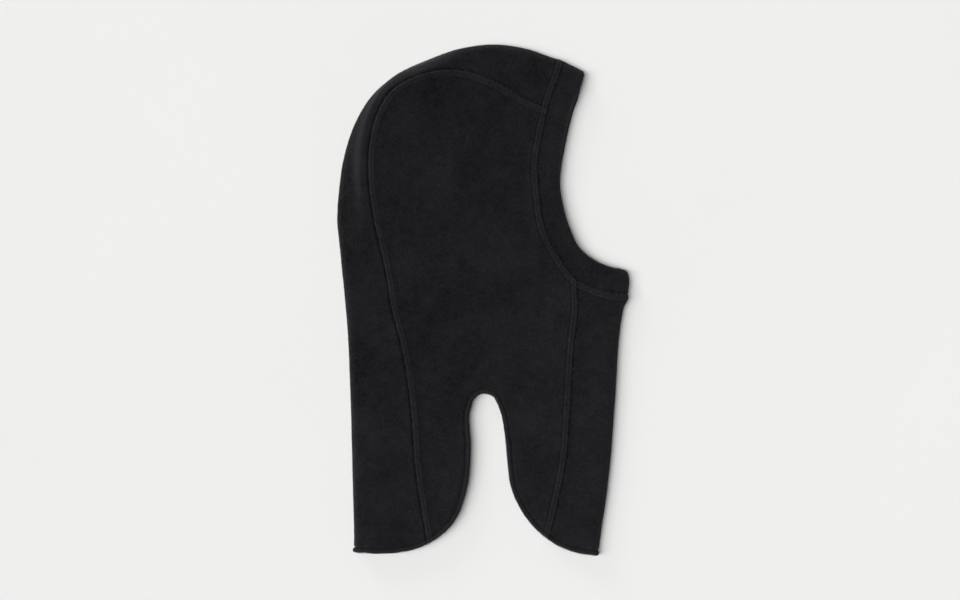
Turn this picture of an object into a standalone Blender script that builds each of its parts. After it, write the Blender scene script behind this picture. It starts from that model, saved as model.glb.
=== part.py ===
"""A fleece balaclava lying flat on its left side, ready to be picked up and worn.

Lengths are in millimetres until a mesh is made, which is in metres. +X is the wearer's front,
+Y the crown and +Z the wearer's right side, which faces up. Two side panels, a centre panel
(forehead, crown, nape and back flap), a front panel (throat and chest flap) and a doubled face
band are overlocked together, topstitched with two needle threads and overlocked along the hem.
"""

import math

import bmesh
import bpy
import numpy as np
from mathutils import Vector
from mathutils.geometry import delaunay_2d_cdt

MM = 0.001

# Cloth
CLOTH = 2.2  # fleece thickness
GAP = 0.3  # between neighbouring pieces
FLAT = 14.0  # thickness of the whole balaclava where it lies flat
PUFF = 11.0  # how much more the rounded back of the head stands up
PUFF_CENTRE = (-88.0, 138.0)
PUFF_REACH = (48.0, 74.0)
ROUNDNESS = 1.1  # a fold's depth in plan over half the thickness
FOLD_SHARE = 0.7  # the most of a panel's width that its fold takes

# Sewing
ROWS = (3.2, 6.4)  # the two needle threads, measured from the seam
THREAD = 0.5
THREAD_WIDTH = 0.8
ALLOWANCE = (1.0, 7.0)  # the overlocked seam allowance, measured from the seam
ALLOWANCE_DEEP = 1.6
HEM_THREAD = 1.2  # how far the hem's overlock stands off the cut edge
SEAM_END = 8.0  # a seam's threads stop this far short of the hem
LIFT = 1.0  # the lower side rises off the table by this along its seams
LIFTED = 8.5  # and for this far on the stitched side of the seam
SETTLED = 15.0
SETTLED_OTHER_SIDE = 6.0

# Mesh
STEP = 16.0  # stations along a seam
GRID = 15.0  # points inside a side panel
BAND_STEP = (0.0, 3.0, 6.0)  # stations where the chin corner steps back to the front fold
NOSE_ANGLES = [math.radians(a) for a in (0, 32, 62, 90)]
ACROSS = (0.35, 0.7, 1.0)  # stations between a fold and its seam

BLACK_FLEECE = (0.018, 0.018, 0.020)
BLACK_THREAD = (0.010, 0.010, 0.011)
SATIN = (0.55, 0.55, 0.53)


class Curve:
    """A smooth curve through points in the plane, measured by its own length."""

    def __init__(self, points):
        p = np.array(points, float)
        chord = np.linalg.norm(np.diff(p, axis=0), axis=1)[:, None]
        slope = np.diff(p, axis=0) / chord
        inner = (slope[:-1] * chord[1:] + slope[1:] * chord[:-1]) / (chord[:-1] + chord[1:])
        tangent = np.vstack([slope[:1], inner, slope[-1:]])
        dense = []
        for t in np.linspace(0, 1, 12, endpoint=False):
            start = (2 * t**3 - 3 * t**2 + 1) * p[:-1] + (t**3 - 2 * t**2 + t) * chord * tangent[:-1]
            end = (3 * t**2 - 2 * t**3) * p[1:] + (t**3 - t**2) * chord * tangent[1:]
            dense.append(start + end)
        dense = np.stack(dense, axis=1).reshape(-1, 2)
        self.points = np.vstack([dense, p[-1:]])
        steps = np.linalg.norm(np.diff(self.points, axis=0), axis=1)
        self.along = np.concatenate([[0.0], np.cumsum(steps)])
        self.length = float(self.along[-1])

    def at(self, distance):
        """Points that far along. Past an end the curve runs straight on."""
        distance = np.asarray(distance, float)
        inside = np.clip(distance, 0.0, self.length)
        point = np.stack([np.interp(inside, self.along, self.points[:, k]) for k in (0, 1)], -1)
        first = self.points[1] - self.points[0]
        last = self.points[-1] - self.points[-2]
        first /= np.linalg.norm(first)
        last /= np.linalg.norm(last)
        beyond = (distance - inside)[..., None]
        return point + beyond * np.where(beyond < 0, first, last)

    def beside(self, distance, offset):
        """Points that far along and offset to the left of the way the curve runs."""
        ahead = self.at(np.asarray(distance, float) + 0.5) - self.at(np.asarray(distance, float) - 0.5)
        ahead /= np.linalg.norm(ahead, axis=-1, keepdims=True)
        left = np.stack([-ahead[..., 1], ahead[..., 0]], -1)
        return self.at(distance) + left * offset

    def nearest(self, point):
        """How far along the curve comes closest to a point."""
        return float(self.along[np.argmin(np.linalg.norm(self.points - np.array(point), axis=1))])

    def part(self, start, end):
        """The stretch between two distances, which may run backwards."""
        count = max(4, int(abs(end - start) / 4))
        return Curve(self.at(np.linspace(start, end, count)))


class Patch:
    """The cloth between two long curves and two short ends that join them."""

    def __init__(self, first, second, start, end):
        self.first, self.second, self.start, self.end = first, second, start, end
        self.length = (first.length + second.length) / 2

    def at(self, along, across):
        """along runs from the start (0) to the end (1), across from first (0) to second (1)."""
        along, across = np.broadcast_arrays(np.asarray(along, float), np.asarray(across, float))
        a, b = along[..., None], across[..., None]
        rails = (1 - b) * self.first.at(along * self.first.length)
        rails = rails + b * self.second.at(along * self.second.length)
        ends = (1 - a) * self.start.at(across * self.start.length)
        ends = ends + a * self.end.at(across * self.end.length)
        corners = (1 - a) * ((1 - b) * self.first.at(0) + b * self.second.at(0))
        corners = corners + a * (
            (1 - b) * self.first.at(self.first.length) + b * self.second.at(self.second.length)
        )
        return rails + ends - corners

    def width(self, along):
        """How far it is from first to second there."""
        return float(np.linalg.norm(self.at(along, 1.0) - self.at(along, 0.0)))


# ---------------------------------------------------------------- the pattern, as it lies flat

# Forehead, crown, back of the head, nape and back flap: the centre panel folds along this line.
back_fold = Curve(
    [(72.6, 214.7), (58.3, 219.7), (39.3, 226), (8, 229.8), (-23, 225.6), (-51.3, 215.3), (-80.3, 201)]
    + [(-101, 182.8), (-116.5, 156.6), (-125.8, 126.3), (-129.6, 100), (-131.4, 70), (-129.4, 48)]
    + [(-122.9, -20), (-119.4, -98), (-117.2, -180), (-116, -227)]
)
# Throat and chest flap: the front panel folds along this line, under the chin corner's step.
front_fold = Curve(
    [(130, 5.4), (129.6, 0), (128.2, -3), (126.4, -7), (124.4, -17), (121.6, -39), (118.7, -85)]
    + [(114.4, -144), (109.8, -185), (105.4, -215), (103.4, -230)]
)
# Where the face band meets the hood, from forehead to chin.
band_seam = Curve(
    [(72.6, 214.7), (68.2, 199.8), (62, 183.8), (54.7, 153.8), (49.6, 124), (50.6, 99)]
    + [(58, 59), (68.5, 39.5), (84, 19), (100, 11), (115, 6.4), (130, 5.4)]
)
# The free edge round the face.
face_edge = Curve(
    [(91.4, 205.2), (86.8, 189), (80, 170), (74.9, 149), (70, 120), (68.8, 105), (71, 88.3)]
    + [(78.6, 62.4), (85.9, 47.7), (97.8, 37.3), (112, 30.5), (119, 28.7), (125.2, 28.6)]
)
chin_corner = Curve([(130, 5.4), (131.3, 14), (131.2, 21), (129.6, 25.6), (125.2, 28.6)])
forehead_corner = Curve([(72.6, 214.7), (82.2, 210.2), (91.4, 205.2)])
# The hem runs down the back flap, up over the shoulder and down the chest flap.
hem = Curve(
    [(-116, -227), (-86, -228), (-64, -224.9), (-43, -215.4), (-26.5, -199.8), (-14.4, -167)]
    + [(-11.5, -133), (-11.6, -98), (-7.6, -88.3), (0, -84.2), (7.6, -86), (14.3, -97.3)]
    + [(19.8, -124.2), (22.4, -152), (24.3, -166), (31.8, -185), (49.1, -208), (68, -221.6)]
    + [(85, -227.8), (103.4, -230)]
)

crown_join = band_seam.nearest((55.9, 172.4))
front_join = band_seam.nearest((84.6, 18.6))
crown_hem = hem.nearest((-50.5, -219.6))
front_hem = hem.nearest((59.8, -216.0))

crown_seam = Curve(
    [tuple(band_seam.at(crown_join)), (41, 179.6), (14, 194.8), (-18, 206), (-44, 205.6), (-64, 199.3)]
    + [(-83, 187), (-95.3, 166.7), (-101.9, 140), (-102.6, 105), (-98, 72), (-87.6, 24), (-82.6, -7)]
    + [(-74.3, -39), (-68.8, -70), (-65.3, -98), (-61, -154), tuple(hem.at(crown_hem))]
)
front_seam = Curve(
    [tuple(band_seam.at(front_join)), (85.5, -10), (82.4, -36), (79, -92), (75, -143), (65, -193)]
    + [tuple(hem.at(front_hem))]
)

centre = Patch(
    back_fold,
    crown_seam,
    band_seam.part(0, crown_join),
    hem.part(0, crown_hem),
)
front = Patch(
    front_fold,
    front_seam,
    band_seam.part(band_seam.length, front_join),
    hem.part(hem.length, front_hem),
)
band = Patch(band_seam, face_edge, forehead_corner, chin_corner)


# ---------------------------------------------------------------- how high the cloth lies


def thickness(point):
    """Height of the whole balaclava above the table, at points in the plane."""
    x = (point[..., 0] - PUFF_CENTRE[0]) / PUFF_REACH[0]
    y = (point[..., 1] - PUFF_CENTRE[1]) / PUFF_REACH[1]
    return FLAT + PUFF * np.exp(-(x**2 + y**2) / 2)


def fold_radius(point):
    return ROUNDNESS * thickness(point) / 2


def lift(from_seam, stitched_side):
    """How far the lower side rises off the table beside a seam."""
    if stitched_side:
        return LIFT * np.clip((SETTLED - from_seam) / (SETTLED - LIFTED), 0, 1)
    return LIFT * np.clip((SETTLED_OTHER_SIDE - from_seam) / SETTLED_OTHER_SIDE, 0, 1)


def raised(point, depth, turn, upper, rise):
    """Points in space. turn is 1 where the cloth lies flat and falls to 0 at a fold."""
    half = thickness(point) / 2
    if upper:
        z = half + (half - depth) * turn
    else:
        z = half - (half - depth - rise) * turn
    return np.concatenate([point, np.broadcast_to(z, point.shape[:-1])[..., None]], axis=-1)


# ---------------------------------------------------------------- making the solids


def material(name, colour, roughness):
    made = bpy.data.materials.new(name)
    made.use_nodes = True
    shader = made.node_tree.nodes["Principled BSDF"]
    shader.inputs["Base Color"].default_value = (*colour, 1)
    shader.inputs["Roughness"].default_value = roughness
    shader.inputs["Metallic"].default_value = 0
    made.diffuse_color = (*colour, 1)
    return made


def solid(name, outside, inside, faces, finish):
    """One closed solid between two matching layers of points, in its own object."""
    count = len(outside)
    edges = {(a, b) for face in faces for a, b in zip(face, face[1:] + face[:1])}
    rim = [(b, a, count + a, count + b) for a, b in sorted(edges) if (b, a) not in edges]
    mesh = bpy.data.meshes.new(name)
    work = bmesh.new()
    corners = [work.verts.new(Vector(p) * MM) for p in np.vstack([outside, inside])]
    for face in list(faces) + [tuple(count + k for k in reversed(f)) for f in faces] + rim:
        work.faces.new([corners[k] for k in face])
    bmesh.ops.recalc_face_normals(work, faces=work.faces)
    bmesh.ops.triangulate(work, faces=work.faces)
    work.to_mesh(mesh)
    work.free()
    mesh.shade_smooth()
    mesh.set_sharp_from_angle(angle=math.radians(50))
    mesh.materials.append(finish)
    made = bpy.data.objects.new(name, mesh)
    bpy.context.scene.collection.objects.link(made)
    return made


def grid_faces(rows, columns, ring=False):
    """Quads of a grid of points. A ring joins its last row to its first."""
    faces = []
    for i in range(rows if ring else rows - 1):
        for j in range(columns - 1):
            after = (i + 1) % rows
            here, there = i * columns, after * columns
            faces.append((here + j, there + j, there + j + 1, here + j + 1))
    return faces


def sheet(name, outside, inside, finish, ring=False):
    """A solid between two grids of points."""
    rows, columns = outside.shape[:2]
    faces = grid_faces(rows, columns, ring)
    return solid(name, outside.reshape(-1, 3), inside.reshape(-1, 3), faces, finish)


# ---------------------------------------------------------------- panels that fold round an edge


def folded_stations(patch, along, depth, upper, inset_seam):
    """One side of a folded panel at one station, from its fold to its seam."""
    width = patch.width(along)
    radius = min(float(fold_radius(patch.at(along, 0.0))), FOLD_SHARE * width)
    from_fold = [depth + (radius - depth) * (1 - math.cos(a)) for a in NOSE_ANGLES]
    turn = [math.sin(a) for a in NOSE_ANGLES]
    from_fold += [radius + (width - radius - inset_seam) * q for q in ACROSS]
    turn += [1.0] * len(ACROSS)
    from_fold, turn = np.array(from_fold), np.array(turn)
    from_band = along * patch.length
    rise = np.maximum(lift(width - from_fold, False), lift(from_band, True))
    return raised(patch.at(along, from_fold / width), depth, turn, upper, rise)


def folded_panel(name, patch, finish):
    """A panel from its seam on the upper side, round its fold, to its seam below."""
    end = 1 - (HEM_THREAD + GAP) / patch.length
    layers = []
    for depth in (0.0, CLOTH):
        rows = []
        for along in panel_stations(patch) * end:
            top = folded_stations(patch, along, depth, True, 0.0)
            below = folded_stations(patch, along, depth, False, 0.0)
            rows.append(np.vstack([top[::-1], below[1:]]))
        layers.append(np.stack(rows))
    return sheet(name, layers[0], layers[1], finish)


def panel_stations(patch):
    """Fractions along a folded panel, with some across the raised band seam."""
    count = round((patch.length - LIFTED) / STEP)
    rest = LIFTED + (patch.length - LIFTED) * np.arange(count + 1) / count
    return np.concatenate([BAND_STEP, rest]) / patch.length


# ---------------------------------------------------------------- side panels


def side_edge():
    """The outline of a side panel, a gap inside its seams, anticlockwise."""
    end = 1 - (HEM_THREAD + GAP) / centre.length
    down_crown = panel_stations(centre) * end * crown_seam.length
    down_crown[0] = GAP
    front_end = 1 - (HEM_THREAD + GAP) / front.length
    up_front = (panel_stations(front) * front_end * front_seam.length)[::-1]
    up_front[-1] = GAP
    over_hem = hem_stations()[1:-1]
    round_band = band_middle()[::-1][1:-1]
    return [
        (crown_seam.beside(down_crown, GAP), "seam"),
        (hem.beside(over_hem, HEM_THREAD + GAP), "hem"),
        (front_seam.beside(up_front, -GAP), "seam"),
        (band_seam.beside(round_band, -GAP), "seam"),
    ]


def hem_stations():
    """Distances along the hem of a side panel, closer where it turns over the shoulder."""
    down = np.linspace(crown_hem, crown_hem + 128, 9, endpoint=False)
    over = np.linspace(crown_hem + 128, front_hem - 132, 9, endpoint=False)
    up = np.linspace(front_hem - 132, front_hem, 10)
    return np.concatenate([down, over, up])


def band_middle():
    """Distances along the band seam between the crown seam and the front seam."""
    count = round((front_join - crown_join) / (STEP * 0.8))
    return np.linspace(crown_join, front_join, count + 1)


def distance_to(points, line):
    """The distance from each point to a polyline given by close points."""
    away = points[:, None, :] - line[None, :, :]
    return np.sqrt((away**2).sum(-1)).min(1)


def rows_between(start, end):
    return np.linspace(start, end, round((end - start) / STEP) + 1)


def raised_rows():
    """Rows of points at the edge of the raised strip inside a side panel's seams."""
    down = rows_between(LIFTED, crown_seam.length - SEAM_END / 2)
    up = rows_between(LIFTED, front_seam.length - SEAM_END / 2)
    across = rows_between(crown_join + LIFTED, front_join - LIFTED)
    return (
        crown_seam.beside(down, LIFTED),
        front_seam.beside(up, -LIFTED),
        band_seam.beside(across, -LIFTED),
    )


def side_panel(name, upper, finish):
    edges = side_edge()
    outline = np.vstack([points for points, _ in edges])
    seams = np.vstack(
        [
            crown_seam.at(np.arange(0, crown_seam.length, 2)),
            front_seam.at(np.arange(0, front_seam.length, 2)),
            band_seam.at(np.arange(crown_join, front_join, 2)),
        ]
    )
    low, high = outline.min(0), outline.max(0)
    inner = [
        (low[0] + GRID * (i + 0.5 * (j % 2)), low[1] + GRID * 0.87 * j)
        for j in range(int((high[1] - low[1]) / GRID / 0.87) + 1)
        for i in range(int((high[0] - low[0]) / GRID) + 1)
    ]
    inner = np.array(inner)
    inner = inner[distance_to(inner, seams) > LIFTED + 0.45 * GRID]
    inner = inner[distance_to(inner, outline) > 0.55 * GRID]
    count = len(outline)
    kept_edges = [(k, (k + 1) % count) for k in range(count)]
    points = outline
    for row in raised_rows():
        kept_edges += [(len(points) + k, len(points) + k + 1) for k in range(len(row) - 1)]
        points = np.vstack([points, row])
    points = np.vstack([points, inner])
    flat, _, faces, _, _, _ = delaunay_2d_cdt(
        [Vector(p) for p in points], kept_edges, [list(range(count))], 1, 1e-5
    )
    flat = np.array([tuple(p) for p in flat])
    rise = lift(distance_to(flat, seams), True)
    outside = raised(flat, 0.0, 1.0, upper, rise)
    inside = raised(flat, CLOTH, 1.0, upper, rise)
    return solid(name, outside, inside, [tuple(f) for f in faces], finish)


# ---------------------------------------------------------------- the doubled face band


def band_stations():
    """(distance from the forehead fold, nose angle) pairs along the band seam, upper side."""
    first = float(fold_radius(band_seam.at(0.0)))
    last = float(fold_radius(band_seam.at(band_seam.length)))
    bottom = band_seam.length
    over_centre = [first + (crown_join - first) * q for q in ACROSS[:-1]]
    over_front = [bottom - last - (bottom - last - front_join) * q for q in ACROSS[:-1]]
    middle = list(band_middle())
    flat = [(first, math.pi / 2)]
    flat += [(s, math.pi / 2) for s in over_centre + middle + over_front[::-1]]
    flat += [(bottom - last, math.pi / 2)]
    start = [(None, a) for a in NOSE_ANGLES[:-1]]
    return start, flat


def band_point(station, from_seam, depth, upper):
    """A point of the band or of what runs beside its seam: station is (end, place)."""
    end, place = station
    width = band.width(0.5)
    across = from_seam / width
    if end == "flat":
        along, turn = place / band_seam.length, 1.0
    else:
        corner = band.at(0.0 if end == "forehead" else 1.0, across)
        radius = float(fold_radius(corner))
        along = (depth + (radius - depth) * (1 - math.cos(place))) / band_seam.length
        turn = math.sin(place)
        if end == "chin":
            along = 1 - along
    rise = lift(abs(from_seam), False)
    return raised(band.at(along, across), depth, turn, upper, rise)


def band_ring():
    """Stations round the face opening: over the upper side, then back along the lower side."""
    start, flat = band_stations()
    nose = [angle for _, angle in start]
    over = [("forehead", a) for a in nose]
    over += [("flat", place) for place, _ in flat]
    over += [("chin", a) for a in reversed(nose)]
    ring = [(station, True) for station in over]
    ring += [(station, False) for station in reversed(over[1:-1])]
    return ring


def face_band(name, finish):
    """A strip doubled over at the face edge, in a ring round the face opening."""
    width = band.width(0.5)
    radius = CLOTH + GAP / 2
    bend = width - radius
    plies = []
    for ply in (radius, GAP / 2):
        section = [(GAP, radius - ply), (7.0, radius - ply), (bend, radius - ply)]
        for angle in (math.radians(a) for a in (45, 90, 135)):
            section.append((bend + ply * math.sin(angle), radius - ply * math.cos(angle)))
        section += [(bend, radius + ply), (7.0, radius + ply), (GAP, radius + ply)]
        plies.append(section)
    layers = []
    for section in plies:
        rows = [
            [band_point(station, across, depth, upper) for across, depth in section]
            for station, upper in band_ring()
        ]
        layers.append(np.array(rows))
    return sheet(name, layers[0], layers[1], finish, ring=True)


# ---------------------------------------------------------------- seam allowances and threads


def strip(name, path, edges, depths, finish, ring=False):
    """A flat strip. path(edge, depth) gives its stations for one edge at one depth."""
    layers = []
    for depth in depths:
        layers.append(np.stack([path(edge, depth) for edge in edges], axis=1))
    return sheet(name, layers[0], layers[1], finish, ring)


def seam_path(seam, towards_panel, start, end, upper):
    """Stations beside a crown or front seam, on the side panel's side of it."""
    count = round((end - start) / STEP)
    stations = np.linspace(start, end, count + 1)

    def path(offset, depth):
        flat = seam.beside(stations, towards_panel * offset)
        return raised(flat, depth, 1.0, upper, LIFT)

    return path


def round_band_path(offset, depth):
    """Stations all the way round the face opening, on the hood's side of the band seam."""
    middle = [band_seam.beside(s, -offset) for s in band_middle()]
    over_centre = centre.at(offset / centre.length, 0.62)
    over_front = front.at(offset / front.length, 0.62)
    row = Curve(
        [tuple(back_fold.at(offset)), tuple(over_centre)]
        + [tuple(p) for p in middle]
        + [tuple(over_front), tuple(front_fold.at(offset))]
    )
    upper_side, lower_side = [], []
    for end, place in band_half_ring(row.length, offset):
        if end == "flat":
            distance, turn = place, 1.0
        else:
            corner = row.at(0.0 if end == "forehead" else row.length)
            radius = float(fold_radius(corner))
            distance = depth + (radius - depth) * (1 - math.cos(place))
            turn = math.sin(place)
            if end == "chin":
                distance = row.length - distance
        flat = row.at(distance)
        upper_side.append(raised(flat, depth, turn, True, LIFT))
        lower_side.append(raised(flat, depth, turn, False, LIFT))
    return np.array(upper_side + lower_side[-2:0:-1])


def band_half_ring(length, offset):
    """Stations of one side of a row beside the band seam, from forehead to chin."""
    first = float(fold_radius(back_fold.at(offset)))
    last = float(fold_radius(front_fold.at(offset)))
    count = round(band_seam.length / (STEP * 0.8))
    nose = NOSE_ANGLES[:-1]
    flat = np.linspace(first, length - last, count + 1)
    stations = [("forehead", a) for a in nose] + [("flat", s) for s in flat]
    return stations + [("chin", a) for a in reversed(nose)]


def hem_path(inset, depth):
    """Stations all the way round the neck opening, a little inside the hem's outline."""
    sides = {}
    for upper in (True, False):
        back = folded_stations(centre, 1 - inset / centre.length, depth, upper, 0.0)
        throat = folded_stations(front, 1 - inset / front.length, depth, upper, 0.0)
        shoulder = hem.beside(hem_stations()[1:-1], inset)
        shoulder = raised(shoulder, depth, 1.0, upper, 0.0)
        sides[upper] = np.vstack([back, shoulder, throat[::-1]])
    return np.vstack([sides[True], sides[False][-2:0:-1]])


def care_label(name, finish):
    """A blank satin label lying on the inside of the left side panel by the front seam."""
    along = np.linspace(150.0, 172.0, 4)
    layers = []
    for depth in (CLOTH + GAP, CLOTH + GAP + 0.4):
        edges = [front_seam.beside(along, -offset) for offset in (9.0, 20.0, 31.0)]
        layers.append(np.stack([raised(e, depth, 1.0, False, LIFT) for e in edges], axis=1))
    return sheet(name, layers[0], layers[1], finish)


def build():
    for old in list(bpy.data.objects):
        bpy.data.objects.remove(old)
    fleece = material("black_fleece", BLACK_FLEECE, 0.95)
    thread = material("black_thread", BLACK_THREAD, 0.7)
    satin = material("satin", SATIN, 0.45)

    folded_panel("centre_panel", centre, fleece)
    folded_panel("front_panel", front, fleece)
    side_panel("right_side_panel", True, fleece)
    side_panel("left_side_panel", False, fleece)
    face_band("face_band", fleece)

    inside = (CLOTH + GAP, CLOTH + GAP + ALLOWANCE_DEEP)
    on_top = (-GAP - THREAD, -GAP)
    clear = ROWS[-1] + THREAD_WIDTH + GAP + 0.6
    seams = (("crown", crown_seam, 1.0), ("front", front_seam, -1.0))
    for side, upper in (("right", True), ("left", False)):
        for part, seam, towards in seams:
            path = seam_path(seam, towards, clear, seam.length - SEAM_END, upper)
            strip(f"{part}_seam_overlock_{side}", path, ALLOWANCE, inside, thread)
            for order, row in zip(("near", "far"), ROWS):
                edges = (row - THREAD_WIDTH / 2, row + THREAD_WIDTH / 2)
                strip(f"{part}_topstitch_{order}_{side}", path, edges, on_top, thread)

    strip("face_band_seam_overlock", round_band_path, ALLOWANCE, inside, thread, ring=True)
    for order, row in zip(("near", "far"), ROWS):
        edges = (row - THREAD_WIDTH / 2, row + THREAD_WIDTH / 2)
        strip(f"face_band_topstitch_{order}", round_band_path, edges, on_top, thread, ring=True)
    strip("hem_overlock_thread", hem_path, (0.0, HEM_THREAD), (0.0, CLOTH), thread, ring=True)
    care_label("care_label", satin)


build()
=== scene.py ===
"""How the fleece balaclava looks: cloth, seams, threads, hem, floor, light and camera.

Lengths are in millimetres until a mesh is made. +X is the wearer's front, +Y the crown, and +Z
the wearer's right side, which faces up. The pattern's outlines are those of the CAD part.
"""

import math

import bpy
import numpy as np
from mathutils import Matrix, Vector, kdtree
from mathutils.geometry import delaunay_2d_cdt


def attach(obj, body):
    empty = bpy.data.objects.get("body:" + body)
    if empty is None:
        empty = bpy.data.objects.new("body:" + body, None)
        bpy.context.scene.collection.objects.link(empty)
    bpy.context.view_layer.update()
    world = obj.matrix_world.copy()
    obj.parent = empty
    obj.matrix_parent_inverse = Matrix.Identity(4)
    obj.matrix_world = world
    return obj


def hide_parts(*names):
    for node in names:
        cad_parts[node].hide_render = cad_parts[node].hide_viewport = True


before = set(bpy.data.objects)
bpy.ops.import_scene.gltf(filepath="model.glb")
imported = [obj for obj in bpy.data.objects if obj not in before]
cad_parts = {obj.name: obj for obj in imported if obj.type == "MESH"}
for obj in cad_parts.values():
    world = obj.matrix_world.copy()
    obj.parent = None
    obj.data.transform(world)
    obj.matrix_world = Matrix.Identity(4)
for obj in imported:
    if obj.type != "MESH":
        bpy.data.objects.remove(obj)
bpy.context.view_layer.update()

MM = 0.001
ROOT = "root"

# Cloth
CLOTH = 2.2  # its thickness
GAP = 0.3  # between the band's two plies, and between a panel and its seam allowances
FLAT = 14.2  # thickness of the whole balaclava beside its folds
SAG = 1.8  # how much the upper side sinks between them
PUFF = 11.0  # how much higher the back of the crown stands
PUFF_CENTRE = (-88.0, 138.0)
PUFF_REACH = (48.0, 74.0)
ROUNDNESS = 1.1  # a fold's radius is this times half the thickness there
FOLD_SHARE = 0.7  # and at most this share of a narrow panel's width
SHOWS_THROUGH = 0.3  # the share of the outer face's relief that the inner face has
TABLE = 0.02  # nothing of the balaclava lies lower

# Sewing
ROWS = (3.2, 6.4)  # the topstitching's distances from its seam
STITCH = 2.65
HOLE = 0.5  # how far a needle hole reaches along its row
THREAD = 0.25  # radius of the needle thread
THREAD_HEIGHT = 0.2  # how far it lies above the cloth
THREAD_DIVE = 0.6  # and how far it sinks at a hole
SHORTEST_STEP = 0.02  # between the points of a thread's path
ALLOWANCE = (-0.7, 7.0)  # the seam allowance's two edges, from the seam
ALLOWANCE_DEEP = 1.6
LIFT = 1.0  # how far seam allowances hold the lower side off the table
LIFTED = 8.5  # up to this far from the seam
SETTLED = 15.0  # and from here on the cloth rests on it
SETTLED_OTHER_SIDE = 6.0
SEAM_START = 7.2  # a seam's needle threads start this far from the face band's seam
ALLOWANCE_START = 8.5  # and its allowance this far
SEAM_END = 8.0  # both stop this far short of the hem
LOOP = 2.5  # the overlock's pitch
LOOP_RADIUS = 0.28
LOOP_HEIGHT = 0.12  # how far its loops lie above the cloth
OVERHANG = 0.35  # and how far they reach past the hem's outline
BITE = 3.9  # how far its needle runs from the cut edge
CUT_EDGE = 0.2  # the cloth's edge inside the hem's outline
PEEK = 1.2  # how far the face band's lower ply shows past the upper one

# The care label: its side, and its place along the front seam and inside it
LABEL = 22.0
LABEL_ALONG = 150.0
LABEL_INSIDE = 9.0

FIBRE = 0.035  # half the thickness of a loose fibre
FIBRE_LENGTH = (0.6, 1.5)
FIBRES_EDGE = 3.0  # loose fibres in a square millimetre along folds
FIBRES_FLAT = 0.2  # and on the flat

# Lamps: the way to each, its height and width in degrees, and its strength
LAMPS = (
    ("overhead", 200, 86, 18, 0.80),
    ("softbox", 190, 70, 26, 1.44),
    ("low_softbox", 186, 48, 30, 0.95),
    ("window", 128, 20, 16, 0.45),
)
DOME = (0.42, 0.05)  # strength of the white sky at the horizon and well above it
WELL_ABOVE = 0.4  # as a share of the zenith's height
CAMERA_AT = (-0.003, 0, 2.41)
LENS = 100
FLOOR = 40  # half its side, in metres

# The angles of the rows of points round a fold
NOSE = [math.radians(a) for a in (0, 12, 24, 36, 48, 60, 70, 80, 90)]


# ---- curves and patches


def run_length(points):
    """How far along a path each of its points is."""
    return np.concatenate([[0.0], np.cumsum(np.linalg.norm(np.diff(points, axis=0), axis=1))])


def unit(ways):
    """The same directions, each of length 1."""
    return ways / np.linalg.norm(ways, axis=-1, keepdims=True)


def left_of(ahead):
    """The direction a quarter turn to the left."""
    return np.stack([-ahead[..., 1], ahead[..., 0]], -1)


class Curve:
    """A smooth curve through points in the plane, measured by its own length."""

    def __init__(self, points):
        points = np.array(points, float)
        chord = np.linalg.norm(np.diff(points, axis=0), axis=1)[:, None]
        slope = np.diff(points, axis=0) / chord
        inner = (slope[:-1] * chord[1:] + slope[1:] * chord[:-1]) / (chord[:-1] + chord[1:])
        tangent = np.vstack([slope[:1], inner, slope[-1:]])
        dense = []
        for t in np.linspace(0, 1, 60, endpoint=False):
            start = (2 * t**3 - 3 * t**2 + 1) * points[:-1] + (t**3 - 2 * t**2 + t) * chord * tangent[:-1]
            end = (3 * t**2 - 2 * t**3) * points[1:] + (t**3 - t**2) * chord * tangent[1:]
            dense.append(start + end)
        dense = np.stack(dense, axis=1).reshape(-1, 2)
        self.points = np.vstack([dense, points[-1:]])
        self.along = run_length(self.points)
        self.length = float(self.along[-1])
        self.tree = None

    def at(self, distance):
        """Points that far along. Past an end the curve runs straight on."""
        distance = np.asarray(distance, float)
        inside = np.clip(distance, 0.0, self.length)
        point = np.stack([np.interp(inside, self.along, self.points[:, k]) for k in (0, 1)], -1)
        first = unit(self.points[2] - self.points[0])
        last = unit(self.points[-1] - self.points[-3])
        beyond = (distance - inside)[..., None]
        return point + beyond * np.where(beyond < 0, first, last)

    def ahead(self, distance):
        """The unit direction of travel."""
        distance = np.asarray(distance, float)
        return unit(self.at(distance + 1.5) - self.at(distance - 1.5))

    def beside(self, distance, offset):
        """Points that far along and offset to the left of the way the curve runs."""
        left = left_of(self.ahead(distance))
        return self.at(distance) + left * np.asarray(offset, float)[..., None]

    def nearest(self, point):
        """How far along the curve comes closest to a point."""
        return float(self.along[np.argmin(np.linalg.norm(self.points - np.array(point), axis=1))])

    def part(self, start, end):
        """The stretch between two distances, which may run backwards."""
        count = max(4, int(abs(end - start) / 4))
        return Curve(self.at(np.linspace(start, end, count)))

    def locate(self, plan):
        """How far points lie to the left of the curve, how far along, and how far past its ends."""
        mark, away = self.from_nearest(plan)
        ahead = self.ahead(mark)
        along = mark + (away * ahead).sum(-1)
        side = away[..., 1] * ahead[..., 0] - away[..., 0] * ahead[..., 1]
        past = np.maximum(np.maximum(-along, along - self.length), 0)
        return side, along, past

    def from_nearest(self, plan):
        """The nearest distance along the curve, and the step from there to each point."""
        if self.tree is None:
            self.marks = np.linspace(0, self.length, int(self.length / 0.4) + 2)
            self.tree = kdtree.KDTree(len(self.marks))
            for k, p in enumerate(self.at(self.marks)):
                self.tree.insert((p[0], p[1], 0), k)
            self.tree.balance()
        found = [self.tree.find((x, y, 0))[1] for x, y in plan.reshape(-1, 2)]
        mark = self.marks[np.array(found)].reshape(plan.shape[:-1])
        return mark, plan - self.at(mark)


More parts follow.
